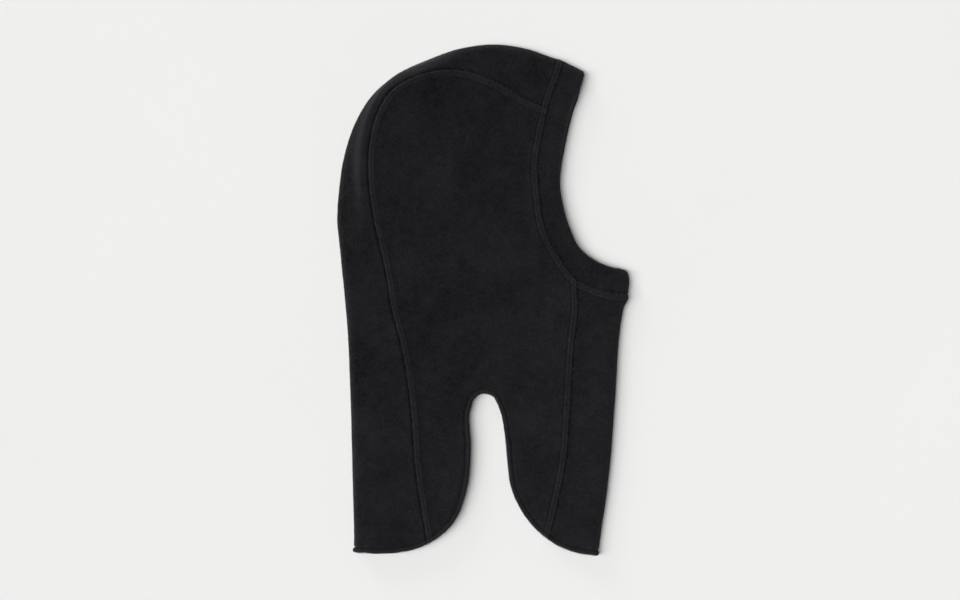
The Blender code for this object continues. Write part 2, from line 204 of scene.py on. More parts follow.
class Patch:
    """The cloth between two long curves and two short ends that join them."""

    def __init__(self, first, second, start, end):
        self.first, self.second, self.start, self.end = first, second, start, end
        self.length = (first.length + second.length) / 2

    def at(self, along, across):
        """along runs from the start (0) to the end (1), across from first (0) to second (1)."""
        along, across = np.broadcast_arrays(np.asarray(along, float), np.asarray(across, float))
        a, b = along[..., None], across[..., None]
        rails = (1 - b) * self.first.at(along * self.first.length)
        rails = rails + b * self.second.at(along * self.second.length)
        ends = (1 - a) * self.start.at(across * self.start.length)
        ends = ends + a * self.end.at(across * self.end.length)
        corners = (1 - a) * ((1 - b) * self.first.at(0) + b * self.second.at(0))
        corners = corners + a * (
            (1 - b) * self.first.at(self.first.length) + b * self.second.at(self.second.length)
        )
        return rails + ends - corners

    def width(self, along):
        """How far it is from first to second there."""
        return np.linalg.norm(self.at(along, 1.0) - self.at(along, 0.0), axis=-1)


# ---- the pattern, as it lies flat

back_fold = Curve(
    [(72.6, 214.7), (58.3, 219.7), (39.3, 226), (8, 229.8), (-23, 225.6), (-51.3, 215.3), (-80.3, 201)]
    + [(-101, 182.8), (-116.5, 156.6), (-125.8, 126.3), (-129.6, 100), (-131.4, 70), (-129.4, 48)]
    + [(-122.9, -20), (-119.4, -98), (-117.2, -180), (-116, -227)]
)
front_fold = Curve(
    [(130, 5.4), (129.6, 0), (128.2, -3), (126.4, -7), (124.4, -17), (121.6, -39), (118.7, -85)]
    + [(114.4, -144), (109.8, -185), (105.4, -215), (103.4, -230)]
)
band_seam = Curve(
    [(72.6, 214.7), (68.2, 199.8), (62, 183.8), (54.7, 153.8), (49.6, 124), (50.6, 99)]
    + [(58, 59), (68.5, 39.5), (84, 19), (100, 11), (115, 6.4), (130, 5.4)]
)
face_edge = Curve(
    [(91.4, 205.2), (86.8, 189), (80, 170), (74.9, 149), (70, 120), (68.8, 105), (71, 88.3)]
    + [(78.6, 62.4), (85.9, 47.7), (97.8, 37.3), (112, 30.5), (119, 28.7), (125.2, 28.6)]
)
chin_corner = Curve([(130, 5.4), (131.3, 14), (131.2, 21), (129.6, 25.6), (125.2, 28.6)])
forehead_corner = Curve([(72.6, 214.7), (82.2, 210.2), (91.4, 205.2)])
hem = Curve(
    [(-116, -227), (-86, -228), (-64, -224.9), (-43, -215.4), (-26.5, -199.8), (-14.4, -167)]
    + [(-11.5, -133), (-11.6, -98), (-7.6, -88.3), (0, -84.2), (7.6, -86), (14.3, -97.3)]
    + [(19.8, -124.2), (22.4, -152), (24.3, -166), (31.8, -185), (49.1, -208), (68, -221.6)]
    + [(85, -227.8), (103.4, -230)]
)

crown_join = band_seam.nearest((55.9, 172.4))
front_join = band_seam.nearest((84.6, 18.6))
crown_hem = hem.nearest((-50.5, -219.6))
front_hem = hem.nearest((59.8, -216.0))

crown_seam = Curve(
    [tuple(band_seam.at(crown_join)), (41, 179.6), (14, 194.8), (-18, 206), (-44, 205.6), (-64, 199.3)]
    + [(-83, 187), (-95.3, 166.7), (-101.9, 140), (-102.6, 105), (-98, 72), (-87.6, 24), (-82.6, -7)]
    + [(-74.3, -39), (-68.8, -70), (-65.3, -98), (-61, -154), tuple(hem.at(crown_hem))]
)
front_seam = Curve(
    [tuple(band_seam.at(front_join)), (85.5, -10), (82.4, -36), (79, -92), (75, -143), (65, -193)]
    + [tuple(hem.at(front_hem))]
)

centre = Patch(back_fold, crown_seam, band_seam.part(0, crown_join), hem.part(0, crown_hem))
front = Patch(
    front_fold,
    front_seam,
    band_seam.part(band_seam.length, front_join),
    hem.part(hem.length, front_hem),
)
band = Patch(band_seam, face_edge, forehead_corner, chin_corner)
BAND_WIDTH = float(band.width(0.5))


# ---- how the cloth lies


def bump(x, middle, reach):
    """A soft hump, 1 at its middle."""
    return np.exp(-(((x - middle) / reach) ** 2))


def smooth(x, low, high):
    """0 below low, 1 above high, and a smooth step between."""
    share = np.clip((x - low) / (high - low), 0, 1)
    return share * share * (3 - 2 * share)


def fall(x, low, high):
    """1 below low, 0 above high, and a smooth step between."""
    return smooth(-x, -high, -low)


def wave(along, length):
    """A wave between -1 and 1, highest at the start of each length."""
    return np.cos(2 * math.pi * along / length)


def noise(plan, size, seed):
    """Smooth unevenness between -1 and 1 with features about that size, the same each run."""
    cosine, sine = math.cos(seed), math.sin(seed)
    x = (plan[..., 0] * cosine - plan[..., 1] * sine) / size + 17.3 * seed
    y = (plan[..., 0] * sine + plan[..., 1] * cosine) / size - 11.9 * seed
    cell_x, cell_y = np.floor(x), np.floor(y)
    u, v = x - cell_x, y - cell_y
    u, v = u**3 * (u * (6 * u - 15) + 10), v**3 * (v * (6 * v - 15) + 10)

    def corner(dx, dy):
        value = np.sin((cell_x + dx) * 127.1 + (cell_y + dy) * 311.7 + seed * 74.7) * 43758.5453
        return (value - np.floor(value)) * 2 - 1

    low = corner(0, 0) * (1 - u) + corner(1, 0) * u
    high = corner(0, 1) * (1 - u) + corner(1, 1) * u
    return low * (1 - v) + high * v


def on_line(along):
    """Places for noise that varies only along a seam."""
    return np.stack([along, 0 * along], -1)


def thickness(plan, from_fold):
    """Height of the whole balaclava above the table. The upper side sags between its folds."""
    puff = np.exp(-(((plan - PUFF_CENTRE) / PUFF_REACH) ** 2).sum(-1) / 2)
    return FLAT + PUFF * puff - SAG * smooth(from_fold, 8, 52) * (1 - puff)


class Folds:
    """The lines where the balaclava turns from its upper side to its lower side."""

    def __init__(self):
        forehead = forehead_corner.at(np.linspace(21, 1, 11))
        back = back_fold.at(np.concatenate([[0.0], np.linspace(4, back_fold.length, 151)]))
        chin = chin_corner.at(np.linspace(chin_corner.length, 1, 15))
        throat = front_fold.at(np.linspace(0, front_fold.length, 80))
        self.lines = (Curve(np.vstack([forehead, back])), Curve(np.vstack([chin, throat])))
        self.widths = []
        for line, patch in zip(self.lines, (centre, front)):
            along = np.linspace(0, 1, 60)
            start = line.nearest(patch.first.at(0.0))
            self.widths.append((start + along * patch.first.length, patch.width(along)))

    def inside(self, plan, line, sign, places, widths):
        """How far points are inside one fold, the way inwards, and the fold's radius."""
        mark, away = line.from_nearest(plan)
        ahead = line.ahead(mark)
        left = left_of(ahead) * sign
        side = (away * left).sum(-1)
        beyond = (away * ahead).sum(-1)
        at_end = (mark <= 0) | (mark >= line.length)
        distance = np.where(at_end, np.hypot(side, beyond), np.maximum(side, 0))
        length = np.maximum(np.linalg.norm(away, axis=-1), 1e-6)[..., None]
        inwards = np.where((at_end & (length[..., 0] > 0.5))[..., None], away / length, left)
        radius = ROUNDNESS * thickness(line.at(mark), 0.0) / 2
        return distance, inwards, np.minimum(radius, FOLD_SHARE * np.interp(mark, places, widths))

    def find(self, plan):
        """The same, for whichever fold is nearer."""
        sides = zip(self.lines, (1, -1), self.widths)
        back, throat = (self.inside(plan, line, sign, *widths) for line, sign, widths in sides)
        nearer = throat[0] < back[0]
        pick = (nearer, nearer[..., None], nearer)
        return [np.where(*choice) for choice in zip(pick, throat, back)]


folds = Folds()


def turn_of(fold):
    """1 where the cloth lies flat, falling to 0 at a fold, and the share of depth that goes sideways."""
    distance, _, radius = fold
    sideways = np.clip(1 - distance / radius, 0, 1)
    return np.sqrt(1 - sideways**2), sideways


def level_of(fold, upper):
    """1 on top and -1 on the table, passing through 0 round a fold."""
    turn = turn_of(fold)[0]
    return np.where(upper, turn, -turn)


def off_table(points):
    """The points, none of them lower than the table."""
    return np.concatenate([points[..., :2], np.maximum(points[..., 2:], TABLE)], axis=-1)


def place(plan, depth, upper, rise=0.0, fold=None):
    """Points in space. depth is how far a point is inside the cloth's outer face."""
    fold = folds.find(plan) if fold is None else fold
    turn, sideways = turn_of(fold)
    plan = plan + fold[1] * (np.asarray(depth) * sideways)[..., None]
    half = thickness(plan, fold[0]) / 2
    above = half + (half - depth) * turn
    below = half - (half - depth - rise) * turn
    z = np.where(upper, above, below)
    return off_table(np.concatenate([plan, z[..., None]], axis=-1))


def lift(from_seam, stitched_side):
    """How far the lower side rises off the table beside a seam."""
    if stitched_side:
        return LIFT * fall(from_seam, LIFTED, SETTLED)
    return LIFT * fall(from_seam, 0, SETTLED_OTHER_SIDE)


def hole_at(along):
    """1 where the needle went through, 0 between."""
    phase = (along / STITCH) % 1
    return bump(np.minimum(phase, 1 - phase) * STITCH, 0, HOLE)


def seam_relief(curve, plan, towards, stitched, level):
    """What a seam does to the cloth beside it: fine relief, thickness, rise, and painted shade and
    highlights.
    """
    side, along, past = curve.locate(plan)
    away = side * towards if stitched else -side * towards
    fade = np.clip(1 - past / 2, 0, 1)
    at_fold = 0.25 + 0.75 * np.abs(level)
    fine = -0.9 * bump(away, 0, 0.8)
    # painted shade in the groove, darkest at the needle holes
    shade = -(0.68 + 0.15 * wave(along, STITCH)) * bump(away, 0, 1.0)
    if stitched:
        uneven = 1 + 0.25 * noise(on_line(along), 7.0, 11) - 0.28 * wave(along, STITCH)
        welt = smooth(away, 0.7, 1.9) * fall(away, 4.6, 6.4) * uneven
        ridges = bump(away, 1.9, 0.7) + 0.4 * bump(away, 4.9, 0.8)
        fine = fine + 0.62 * welt + 0.12 * ridges
        # painted highlights on the welt and its two ridges
        shade = shade + 0.24 * welt + 0.16 * ridges
        for row, strength in zip(ROWS, (0.75, 1.1)):
            fine = fine - strength * (0.45 + 0.4 * hole_at(along)) * bump(away, row, 0.6)
            # painted shade in each stitch row, deepest at the needle holes
            shade = shade - strength * (0.12 + 0.25 * hole_at(along)) * bump(away, row, 0.6)
        # painted shade past the welt's outer edge
        shade = shade - 0.12 * bump(away, 6.8, 0.9)
        pucker = noise(on_line(along), 5.0, 3) * fall(away, 7, 14)
        fine = fine + 0.22 * pucker * smooth(away, 5, 8)
        thick = fall(away, 6.6, 11.0)
    else:
        fine = fine + 0.15 * bump(away, 2.7, 1.8)
        # painted shade beside the groove on this side
        shade = shade - 0.06 * fall(away, 1, 4)
        thick = 0.5 * fall(away, 1, 6)
    return fine * fade * at_fold, thick * fade * at_fold, lift(away, stitched) * fade, shade * fade


def hem_relief(plan, level):
    """The overlock beads the cloth's edge, flared at a fold, and the cloth puffs up inside it."""
    side, along, past = hem.locate(plan)
    fade = np.clip(1 - past / 2, 0, 1)
    bead = 0.55 * bump(side, 1.9, 1.5) - 0.55 * fall(side, -0.1, 1.1)
    bead = bead - 1.05 * bump(side, BITE + 0.5, 0.8)
    flare = np.where(plan[..., 0] < 0, 0.9, 0.2) * (1 - np.abs(level)) ** 2
    flare = flare * fall(side, 3.2, 4.4)
    ribs = 0.14 * wave(along, LOOP) * fall(side, 3.0, 4.2)
    # painted shade in the groove inside the bead and at the cut edge; the bead itself is paler
    shade = 0.6 * bump(side, 1.9, 1.1) - 0.5 * bump(side, BITE + 0.3, 0.8) - 0.4 * bump(side, 0, 0.8)
    return (bead + flare + ribs + 0.4 * bump(side, 7.2, 1.9)) * fade, shade * fade


def drape(plan, level):
    """Gentle unevenness of cloth laid out by hand. level is 1 on top and -1 on the table."""
    wide = 0.55 * noise(plan, 62, 1) + 0.26 * noise(plan, 26, 2) + 0.1 * noise(plan, 11, 4)
    nap = 0.07 * noise(plan, 4.2, 5) + 0.05 * noise(plan, 2.1, 6)
    return wide * (0.6 + 0.4 * level) + nap


def relief(plan, seams, level):
    """Outward relief, rise off the table and the pile's painted shade and highlights, at points of one
    panel.

    The pile's colour is paler towards the hem and darker over the head.
    """
    fine, shade = hem_relief(plan, level)
    fine, thick, rise = fine + drape(plan, level), 0, 0
    for curve, towards, stitched in seams:
        beside = seam_relief(curve, plan, towards, stitched, level)
        fine = fine + beside[0]
        # the thicker of two seams that meet all but hides the other
        thick = thick + beside[1] ** 4
        rise = np.maximum(rise, beside[2])
        shade = shade + beside[3]
    # the colour is paler towards the hem and darker over the head
    hem_to_head_tone = 0.14 * fall(plan[..., 1], -200, -20) - 0.06 * smooth(plan[..., 1], 60, 200)
    return fine + thick**0.25, rise, np.clip(shade + hem_to_head_tone, -0.8, 1)


# Each panel's seams: the curve, the side of it that the panel is on, and whether it is topstitched there
SIDE_SEAMS = ((crown_seam, 1, True), (front_seam, -1, True), (band_seam, -1, True))
CENTRE_SEAMS = ((crown_seam, 1, False), (band_seam, -1, True))
FRONT_SEAMS = ((front_seam, -1, False), (band_seam, -1, True))


# ---- meshes


OUTER_FACES = {}  # how many of a cloth piece's faces, from the first, are its outer side


def mesh_object(name, points, faces, finish, shade=None):
    """One object, with its faces turned outwards and its unused points left out."""
    used = np.unique(np.concatenate([np.array(f) for f in faces]))
    renumber = np.full(len(points), -1)
    renumber[used] = np.arange(len(used))
    renumber = renumber.tolist()
    faces = [tuple(renumber[k] for k in f) for f in faces]
    points = points[used] * MM
    mesh = bpy.data.meshes.new(name)
    mesh.from_pydata(points.tolist(), [], faces)
    mesh.calc_loop_triangles()
    corner = np.empty(len(mesh.loop_triangles) * 3, np.int32)
    mesh.loop_triangles.foreach_get("vertices", corner)
    a, b, c = points[corner.reshape(-1, 3)].transpose(1, 0, 2)
    if (a * np.cross(b, c)).sum() < 0:
        mesh.flip_normals()
    mesh.materials.append(finish)
    mesh.shade_smooth()
    if shade is not None:
        mesh.attributes.new("shade", "FLOAT", "POINT").data.foreach_set("value", shade[used])
    mesh.update()
    made = bpy.data.objects.new(name, mesh)
    bpy.context.scene.collection.objects.link(made)
    return made


def cloth_object(name, outside, inside, faces, finish, shade=None):
    """One closed piece of cloth between its outer and inner points. Only the outer face has a shade."""
    faces = [tuple(f) for f in faces]
    outside, inside = outside.reshape(-1, 3), inside.reshape(-1, 3)
    count = len(outside)
    edges = {(a, b) for face in faces for a, b in zip(face, face[1:] + face[:1])}
    rim = [(b, a, count + a, count + b) for a, b in sorted(edges) if (b, a) not in edges]
    inner = [tuple(count + k for k in reversed(f)) for f in faces]
    OUTER_FACES[name] = len(faces)
    if shade is not None:
        shade = np.concatenate([shade.ravel(), 0 * shade.ravel()])
    return mesh_object(name, np.vstack([outside, inside]), faces + inner + rim, finish, shade)


def grid_faces(rows, columns, ring=False, tube=False, start=0):
    """Quads of a grid of points. A ring joins its last row to its first, a tube its columns."""
    i = np.arange(rows if ring else rows - 1)[:, None]
    j = np.arange(columns if tube else columns - 1)[None, :]
    i2, j2 = (i + 1) % rows, (j + 1) % columns
    quads = [i * columns + j, i2 * columns + j, i2 * columns + j2, i * columns + j2]
    quads = np.stack(np.broadcast_arrays(*quads), -1).reshape(-1, 4) + start
    return [tuple(q) for q in quads.tolist()]


def tube(path, radius, sides=6, start=0):
    """Points and faces of a round thread along a path, closed at both ends, flat on the table.

    A point that almost meets the one before it is left out, since it has no clear direction.
    """
    steps = np.linalg.norm(np.diff(path, axis=0), axis=1)
    path = path[np.concatenate([[True], steps > SHORTEST_STEP])]
    ahead = unit(np.gradient(path, axis=0))
    across = np.empty_like(path)
    last = np.cross(ahead[0], (0.31, 0.22, 0.92))
    for k, way in enumerate(ahead):
        last = unit(last - way * last.dot(way))
        across[k] = last
    other = np.cross(ahead, across)
    angle = np.arange(sides) * 2 * math.pi / sides
    around = across[:, None] * np.cos(angle)[None, :, None] + other[:, None] * np.sin(angle)[None, :, None]
    points = off_table((path[:, None] + radius * around).reshape(-1, 3))
    faces = grid_faces(len(path), sides, tube=True, start=start)
    faces.append(tuple(start + k for k in range(sides)))
    faces.append(tuple(start + len(points) - 1 - k for k in range(sides)))
    return points, faces


def spread(start, end, step):
    """Evenly spaced numbers from start to end, about a step apart, without the end."""
    return np.linspace(start, end, max(1, round(abs(end - start) / step)), endpoint=False)


# Distances of rows of points from a seam on its stitched side and its other side, and from the hem
BESIDE = [0.05, 0.5, 0.9, 1.4, 1.9, 2.4, 2.8, 3.2, 3.6, 4.1, 4.8, 5.5, 6.0, 6.4, 6.8, 7.4, 8.3, 9.6]
BESIDE_OTHER = [0.05, 0.5, 0.9, 1.4, 2.0, 2.8, 3.8, 5.0]
HEM_ROWS = [CUT_EDGE, 0.7, 1.3, 2.0, 2.7, 3.4, 3.9, 4.3, 4.9, 5.8, 7.0, 8.4]
SEAM_FINE, HEM_FINE = 7.5, 5.0  # up to here the points of a row lie close together
FINE = STITCH / 4  # between the points of a row along a seam
HEM_STEP = 0.7  # and of one along the hem
COARSE = 1.5  # and of both farther off
NET = 2.4  # between the points inside a side panel


def cut_edge(along):
    """Distance of the cloth's edge inside the hem's outline: a little wavy from its threads."""
    return CUT_EDGE + 0.3 * wave(along, LOOP) + 0.3 * noise(on_line(along), 9.0, 7)


# ---- side panels


def side_outline():
    """The side panel's outline, just inside its three seams and at its cut edge."""
    near = BESIDE[0]
    down = np.arange(0.15, crown_seam.length - CUT_EDGE, FINE)
    up = np.arange(0.15, front_seam.length - CUT_EDGE, FINE)[::-1]
    over = np.arange(crown_hem + 0.6, front_hem - 0.6, HEM_STEP)
    back = np.arange(crown_join + 0.6, front_join - 0.6, FINE)[::-1]
    return np.vstack(
        [
            crown_seam.beside(down, near),
            hem.beside(over, cut_edge(over)),
            front_seam.beside(up, -near),
            band_seam.beside(back, -near),
        ]
    )


def rows_beside_seams():
    """Rows of points along the side panel's seams, none of which runs into another seam's rows."""
    rows = []
    for offset in BESIDE[1:]:
        for k, (curve, towards, _) in enumerate(SIDE_SEAMS):
            low = crown_join if curve is band_seam else 0
            high = front_join if curve is band_seam else curve.length
            along = np.arange(low + 0.3, high - 0.3, FINE if offset < SEAM_FINE else COARSE)
            row = curve.beside(along, towards * offset)
            clear = hem.locate(row)[0] > 1.5
            for j, (other, sign, _) in enumerate(SIDE_SEAMS):
                if j != k:
                    side, _, past = other.locate(row)
                    clear &= (side * sign > offset + 0.25 * (j > k)) | (past > 2)
            rows.append(row[clear])
    return rows


def rows_beside_hem():
    """Rows of points along the hem, between the rows of the crown seam and the front seam."""
    rows = []
    for offset in HEM_ROWS[1:]:
        step = HEM_STEP if offset < HEM_FINE else COARSE
        along = np.arange(crown_hem + 0.3, front_hem - 0.3, step)
        row = hem.beside(along, offset)
        clear = (crown_seam.locate(row)[0] > 7.6) & (-front_seam.locate(row)[0] > 7.6)
        rows.append(row[clear])
    return rows


def net_inside(outline):
    """A plain net of triangles over the middle of the side panel."""
    low, high = outline.min(0), outline.max(0)
    x, y = np.meshgrid(np.arange(low[0], high[0], NET), np.arange(low[1], high[1], NET * 0.87))
    x = x + NET / 2 * (np.arange(len(x)) % 2)[:, None]
    net = np.stack([x, y], -1).reshape(-1, 2)
    clear = hem.locate(net)[0] > 9.8
    for curve, towards, _ in SIDE_SEAMS:
        side, _, past = curve.locate(net)
        clear &= (side * towards > 11.0) | (past > 11)
    return net[clear]


def side_panel(name, upper, finish):
    """One side panel: close rows of points beside its seams and hem, and a plain net inside."""
    outline = side_outline()
    points = np.vstack([outline, *rows_beside_seams(), *rows_beside_hem(), net_inside(outline)])
    count = len(outline)
    ring = [(k, (k + 1) % count) for k in range(count)]
    flat, _, faces, _, _, _ = delaunay_2d_cdt(
        [Vector(p) for p in points], ring, [list(range(count))], 1, 1e-6
    )
    flat = np.array([tuple(p) for p in flat])
    out, rise, shade = relief(flat, SIDE_SEAMS, 1.0 if upper else -1.0)
    fold = folds.find(flat)
    outside = place(flat, -out, upper, rise, fold)
    inside = place(flat, CLOTH - SHOWS_THROUGH * out, upper, rise, fold)
    return cloth_object(name, outside, inside, faces, finish, shade)


# ---- panels that fold round an edge


def round_fold(upper, lower):
    """Rows that run from the seam on the upper side, round the fold, to the seam below."""
    return np.concatenate([upper[:, ::-1], lower[:, 1:]], axis=1)


def folded_panel(name, patch, seams, finish):
    """A panel from its seam on the upper side, round its fold, to its seam below."""
    from_band = np.concatenate([BESIDE, spread(10.6, patch.length - 10, 2.2)])
    from_band = np.concatenate([from_band, patch.length - np.array(HEM_ROWS[::-1])])
    along = (from_band / patch.length)[:, None]
    width = patch.width(along)
    radius = folds.find(patch.at(along, 0.0))[2]
    nose = np.array(NOSE)[None, :]
    squeeze = np.minimum(1, 0.6 * (width - radius) / BESIDE_OTHER[-1])
    open_width = width - radius - BESIDE_OTHER[-1] * squeeze
    middle = np.linspace(0, 1, 26)[None, 1:-1]
    close = width - np.array(BESIDE_OTHER[::-1])[None, :] * squeeze
    from_fold = np.concatenate([radius * (1 - np.cos(nose)), radius + open_width * middle, close], 1)
    across = from_fold / width
    # the cut edge waves along the hem
    hem_along = across * patch.end.length
    if patch is front:
        hem_along = hem.length - hem_along
    near_hem = smooth(from_band[:, None], patch.length - 4, patch.length - CUT_EDGE)
    along = along + (CUT_EDGE - cut_edge(hem_along)) * near_hem / patch.length
    plan = patch.at(along, across)
    fold = folds.find(plan)
    fold[0][:, 0] = 0.0
    outside, inside, shades = [], [], []
    for upper in (True, False):
        out, rise, shade = relief(plan, seams, level_of(fold, upper))
        # painted highlight and painted shade over the back of the crown
        if patch is centre:
            shade = shade + painted_crown_highlight(fold[0], along * patch.first.length)
        shades.append(shade)
        outside.append(place(plan, -out, upper, rise, fold))
        inside.append(place(plan, CLOTH - SHOWS_THROUGH * out, upper, rise, fold))
    outside, inside, shade = (round_fold(*sides) for sides in (outside, inside, shades))
    return cloth_object(name, outside, inside, grid_faces(*outside.shape[:2]), finish, shade)


def painted_crown_highlight(from_fold, along_fold):
    """A painted highlight over the back of the crown: one pale ridge, with painted shade beside it.

    It starts on the fold above the crown, and leaves it slowly towards the nape, where painted shade
    darkens the fold itself.
    """
    top = smooth(along_fold, 85, 122) * fall(along_fold, 130, 160)
    back = smooth(along_fold, 90, 125) * fall(along_fold, 240, 305)
    ridge = 0.3 + 0.17 * np.maximum(along_fold - 170, 0)
    reach = 1.1 + 0.8 * fall(along_fold, 135, 160) + 2.9 * smooth(along_fold, 165, 225)
    height = 1.25 + 2.0 * fall(along_fold, 165, 200)
    # painted highlight: a pale plateau over the top and a pale ridge down the back
    pale = 0.75 * top * fall(from_fold, 6, 12) + back * height * bump(from_fold, ridge, reach)
    # painted shade on the fold, here and towards the nape (the last term below)
    dark = 0.6 * bump(along_fold, 235, 35) * bump(from_fold, 0, 4)
    return pale - dark - 0.8 * bump(along_fold, 305, 38) * bump(from_fold, 0, 7)


# ---- rings round an opening


def half_ring(curve, step):
    """Distances along a curve that runs from fold to fold, evenly spaced round its two turns."""
    first, last = folds.find(curve.at(np.array([0.5, curve.length - 0.5])))[2]
    quarter_first, quarter_last = first * math.pi / 2, last * math.pi / 2
    flat = curve.length - first - last
    count = int((flat + first + last) / step) + 2
    path = np.linspace(0, quarter_first + flat + quarter_last, count)
    start = first * (1 - np.cos(np.minimum(path, quarter_first) / first))
    beyond = np.clip(path - quarter_first, 0, flat)
    end = last * np.sin(np.clip(path - quarter_first - flat, 0, quarter_last) / last)
    return start + beyond + end


def ring(curve, step):
    """(distances, upper) all the way round an opening: over the upper side and back below."""
    half = half_ring(curve, step)
    distance = np.concatenate([half, half[-2:0:-1]])
    upper = np.arange(len(distance)) < len(half)
    return distance, upper


# ---- the doubled face band


def face_band(name, finish):
    """A strip doubled over at the face edge. Below, its edge shows a little past the upper one."""
    distance, upper = ring(band_seam, COARSE)
    radius = CLOTH + GAP / 2
    bend = BAND_WIDTH - radius
    arc = np.radians(np.arange(12, 180, 12))
    out_points = np.array(BESIDE_OTHER + list(spread(6.6, bend, 1.9)) + [bend])
    shift = PEEK * smooth(distance, 14, 34) * (1 - smooth(distance, 85, 125)) * ~upper
    level = level_of(folds.find(band_seam.at(distance)), upper)[:, None]
    layers, shades = [], []
    for ply in (radius, GAP / 2):
        across = np.concatenate([out_points, bend + ply * np.sin(arc), out_points[::-1]])
        depth = np.concatenate(
            [out_points * 0 + radius - ply, radius - ply * np.cos(arc), out_points * 0 + radius + ply]
        )
        weight = SHOWS_THROUGH
        if ply == radius:
            weight = np.clip(1 - depth / (2 * radius), SHOWS_THROUGH, 1)
        stretched = across + shift[:, None] * smooth(across, 6, bend)
        plan = band.at((distance / band_seam.length)[:, None], stretched / BAND_WIDTH)
        fine, thick, rise, shade = seam_relief(band_seam, plan, -1, False, level)
        # painted light at the face edge: painted shade past the middle of the bend, and on the upper side
        # painted highlights along the bend, strongest below the forehead and at the chin
        rim = bump(across, bend + 1.0, 2.2) * smooth(distance, 14, 34)[:, None]
        below = np.arange(len(across)) > len(out_points) + len(arc) / 2
        lit = 0.35 + 0.5 * bump(distance, 45, 22)[:, None] + 0.4 * smooth(distance, 185, 215)[:, None]
        shade = shade + rim * np.where(below, -0.8, lit * upper[:, None])
        shades.append(shade)
        ripple = 0.25 * noise(on_line(distance), 13, 8)[:, None] * smooth(across, 2, 12)
        out = fine + thick + drape(plan, level) + ripple
        layers.append(place(plan, depth - out * weight, upper[:, None], rise))
    faces = grid_faces(*layers[0].shape[:2], ring=True)
    return cloth_object(name, *layers, faces, finish, shades[0])


# ---- threads


def stitched_row(name, plan, along, upper, seams, finish):
    """A needle thread that lies on the cloth between its holes and dives in at each of them."""
    fold = folds.find(plan)
    out, rise, _ = relief(plan, seams, level_of(fold, upper))
    height = out + THREAD_HEIGHT - THREAD_DIVE * hole_at(along)
    path = place(plan, -height, upper, rise, fold)
    return mesh_object(name, *tube(path, THREAD), finish)


def seam_row(name, curve, towards, offset, upper, finish):
    """One needle thread beside a seam, from the face band to the hem."""
    along = np.arange(SEAM_START, curve.length - SEAM_END, STITCH / 8)
    plan = curve.beside(along, towards * offset)
    return stitched_row(name, plan, along, upper, SIDE_SEAMS, finish)


def band_row(name, offset, finish):
    """One needle thread all round the face band's seam, on the side away from the face."""
    beyond = np.linspace(-3, band_seam.length + 3, 120)
    row = Curve(band_seam.beside(beyond, -offset))
    ends = [np.linalg.norm(line.from_nearest(row.points)[1], axis=1).argmin() for line in folds.lines]
    row = row.part(*(row.along[k] for k in ends))
    distance, upper = ring(row, STITCH / 8)
    seams = ((band_seam, -1, True),)
    return stitched_row(name, row.at(distance), distance, upper, seams, finish)


def at_hem(plan, upper):
    """The folds, and how far the cloth stands out, at points beside the hem."""
    fold = folds.find(plan)
    level = level_of(fold, upper)
    return fold, drape(plan, level) + hem_relief(plan, level)[0]


def hem_overlock(name, finish):
    """Looper thread wound over the cut edge all round the neck, and its needle thread."""
    distance, upper = ring(hem, LOOP / 18)
    centreline = place(hem.at(distance), 1.1, upper)
    angle = 2 * math.pi * run_length(centreline) / LOOP
    inset = (BITE - OVERHANG) / 2 + (BITE + OVERHANG) / 2 * np.cos(angle)
    inset = inset + 0.3 * noise(on_line(distance), 2.2, 9)
    face = np.clip(1.9 * np.sin(angle), -1, 1)
    plan = hem.beside(distance, inset)
    fold, out = at_hem(plan, upper)
    outer, inner = -out - LOOP_HEIGHT, CLOTH - SHOWS_THROUGH * out + LOOP_HEIGHT
    depth = (outer + inner) / 2 - (inner - outer) / 2 * face
    loops = tube(place(plan, depth, upper, 0.0, fold), LOOP_RADIUS, sides=5)
    distance, upper = ring(hem, STITCH / 8)
    plan = hem.beside(distance, BITE + 0.25)
    fold, out = at_hem(plan, upper)
    height = out + 0.14 - THREAD_DIVE * hole_at(distance)
    needle = tube(place(plan, -height, upper, 0.0, fold), LOOP_RADIUS, start=len(loops[0]))
    return mesh_object(name, np.vstack([loops[0], needle[0]]), loops[1] + needle[1], finish)


def allowance(name, seam, towards, distance, upper, closed, finish):
    """Overlocked seam allowance on the inside: a soft flat roll ribbed by its looper thread."""
    angle = np.arange(14) * 2 * math.pi / 14
    middle = sum(ALLOWANCE) / 2
    half = (ALLOWANCE[1] - ALLOWANCE[0]) / 2
    offset = middle + half * np.sign(np.cos(angle)) * np.abs(np.cos(angle)) ** 0.7
    centre_depth = CLOTH + GAP + ALLOWANCE_DEEP / 2
    ribs = 1 + 0.1 * wave(distance, LOOP)[:, None]
    roll = 1 + 0.12 * noise(on_line(distance), 6, 10)[:, None]
    depth = centre_depth + ALLOWANCE_DEEP / 2 * 0.9 * np.sin(angle)[None, :] * ribs * roll
    plan = np.stack([seam.beside(distance, towards * one) for one in offset], axis=1)
    points = place(plan, depth, np.asarray(upper)[..., None], LIFT)
    rows, columns = points.shape[:2]
    faces = grid_faces(rows, columns, ring=closed, tube=True)
    if not closed:
        faces.append(tuple(range(columns)))
        faces.append(tuple(rows * columns - 1 - k for k in range(columns)))
    return mesh_object(name, points.reshape(-1, 3), faces, finish)


# ---- loose fibres


